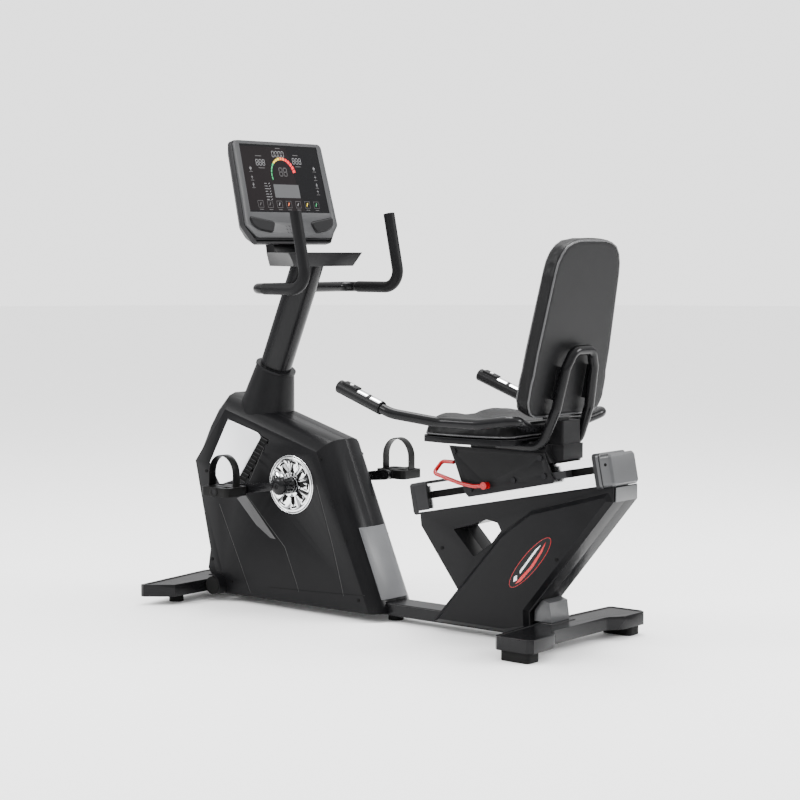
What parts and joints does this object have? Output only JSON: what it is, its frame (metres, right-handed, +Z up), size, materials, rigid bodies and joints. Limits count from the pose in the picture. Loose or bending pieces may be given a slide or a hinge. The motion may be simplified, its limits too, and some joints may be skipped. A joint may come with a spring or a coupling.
{
  "type": "recumbent exercise bike",
  "caption": "Recumbent exercise bike with console, front bars, belt-driven cranks, and a padded seat and backrest on a sloped rail.",
  "frame": {"origin": "on the floor at the middle of the machine's length and width", "axes": "+X towards the back of the machine (the rider faces -X), +Y to the rider's right, +Z up"},
  "size_m": [1.5441, 0.6592, 1.3625],
  "materials": {
    "black_metal": "satin powder coat",
    "steel": "bright",
    "chrome": "polished",
    "iron": "machined",
    "pulley_alloy": "cast",
    "rail_alloy": "clear anodised",
    "rubber": "moulded",
    "case_plastic": "fine grain",
    "silver_plastic": "painted silver",
    "grey_plastic": "satin",
    "dark_plastic": "satin",
    "bezel_plastic": "satin",
    "screen": "dark window",
    "foam": "soft grip",
    "pedal_plastic": "moulded",
    "vinyl": "grained vinyl",
    "red_metal": "gloss",
    "white_button": "satin"
  },
  "bodies": {
    "frame": {"base_beam": "black_metal", "front_stabiliser": "black_metal", "rear_stabiliser": "black_metal", "rear_pads": "rubber", "drive_frame": "black_metal", "mast": "black_metal", "bearings": "steel", "brake_coil": "black_metal", "drive_belt": "rubber", "casing_left": "case_plastic", "casing_right": "case_plastic", "casing_inserts": "silver_plastic", "casing_rear_cover": "grey_plastic", "mast_boot": "case_plastic", "front_handlebar": "black_metal", "front_grips": "foam", "accessory_tray": "case_plastic", "console_housing": "case_plastic", "console_bezel": "bezel_plastic", "console_screen": "screen", "rear_frame": "black_metal", "rail": "rail_alloy", "rail_cap_front": "dark_plastic", "rail_cap_rear": "grey_plastic", "rail_stops": "rubber", "shroud_left": "case_plastic", "shroud_right": "case_plastic", "post_covers": "grey_plastic", "cover_screws": "steel"},
    "crankset": {"crank_spindle": "steel", "crank_left": "black_metal", "crank_right": "black_metal", "crank_discs": "chrome", "drive_pulley": "pulley_alloy", "pedal_spindles": "steel"},
    "pedal_left": {"pedal_left": "pedal_plastic", "pedal_strap_left": "pedal_plastic"},
    "pedal_right": {"pedal_right": "pedal_plastic", "pedal_strap_right": "pedal_plastic"},
    "flywheel": {"flywheel": "iron"},
    "transport_wheels": {"transport_wheels": "rubber"},
    "foot_front_left": {"foot_front_left": "rubber"},
    "foot_front_right": {"foot_front_right": "rubber"},
    "foot_mid": {"foot_mid": "rubber"},
    "carriage": {"carriage_plate_left": "black_metal", "carriage_plate_right": "black_metal", "slide_shoes": "case_plastic", "carriage_block": "black_metal", "carriage_bolts": "steel", "seat_pan": "case_plastic", "seat_cushion": "vinyl", "seat_handlebar": "black_metal", "seat_grips": "dark_plastic", "pulse_plates": "chrome", "backrest_pad": "vinyl", "backrest_loop": "black_metal"},
    "release_lever": {"release_lever": "red_metal"},
    "lock_pin": {"lock_pin": "steel"},
    "button_left": {"button_left": "white_button"},
    "button_right": {"button_right": "white_button"}
  },
  "joints": [
    {"name": "crank_spin", "type": "hinge", "parent": "frame", "child": "crankset", "pos_m": [-0.318, 0, 0.37], "axis": [0, 1, 0], "continuous": true},
    {"name": "flywheel_spin", "type": "hinge", "parent": "frame", "child": "flywheel", "pos_m": [-0.405, 0, 0.19], "axis": [0, 1, 0], "continuous": true},
    {"name": "pedal_left_spin", "type": "hinge", "parent": "crankset", "child": "pedal_left", "pos_m": [-0.48177, -0.2, 0.34989], "axis": [0, 1, 0], "continuous": true},
    {"name": "pedal_right_spin", "type": "hinge", "parent": "crankset", "child": "pedal_right", "pos_m": [-0.15423, 0.2, 0.39011], "axis": [0, 1, 0], "continuous": true},
    {"name": "transport_wheels_spin", "type": "hinge", "parent": "frame", "child": "transport_wheels", "pos_m": [-0.612, 0, 0.047], "axis": [0, 1, 0], "continuous": true},
    {"name": "foot_front_left_screw", "type": "slide", "parent": "frame", "child": "foot_front_left", "axis": [0, 0, -1], "range_m": [0, 0.012]},
    {"name": "foot_front_right_screw", "type": "slide", "parent": "frame", "child": "foot_front_right", "axis": [0, 0, -1], "range_m": [0, 0.012]},
    {"name": "foot_mid_screw", "type": "slide", "parent": "frame", "child": "foot_mid", "axis": [0, 0, -1], "range_m": [0, 0.012]},
    {"name": "seat_slide", "type": "slide", "parent": "frame", "child": "carriage", "axis": [0.9806, 0, 0.1959], "range_m": [-0.125, 0.075]},
    {"name": "lever_release", "type": "hinge", "parent": "carriage", "child": "release_lever", "pos_m": [0.379, -0.09, 0.42], "axis": [0, 1, 0], "range_deg": [0, 15], "stiffness_Nm_per_rad": 2, "springref_deg": -14.32},
    {"name": "lock_pin_slide", "type": "slide", "parent": "carriage", "child": "lock_pin", "axis": [0, 1, 0], "range_m": [0, 0.012]},
    {"name": "button_left_press", "type": "slide", "parent": "carriage", "child": "button_left", "axis": [-0.3356, 0, -0.942], "range_m": [0, 0.0015], "stiffness_N_per_m": 400, "springref_m": -0.001},
    {"name": "button_right_press", "type": "slide", "parent": "carriage", "child": "button_right", "axis": [-0.3356, 0, -0.942], "range_m": [0, 0.0015], "stiffness_N_per_m": 400, "springref_m": -0.001}
  ],
  "couplings": [
    {"joint": "flywheel_spin", "follows": "crank_spin", "ratio": 4},
    {"joint": "lock_pin_slide", "follows": "lever_release", "m_per_rad": 0.0458}
  ]
}
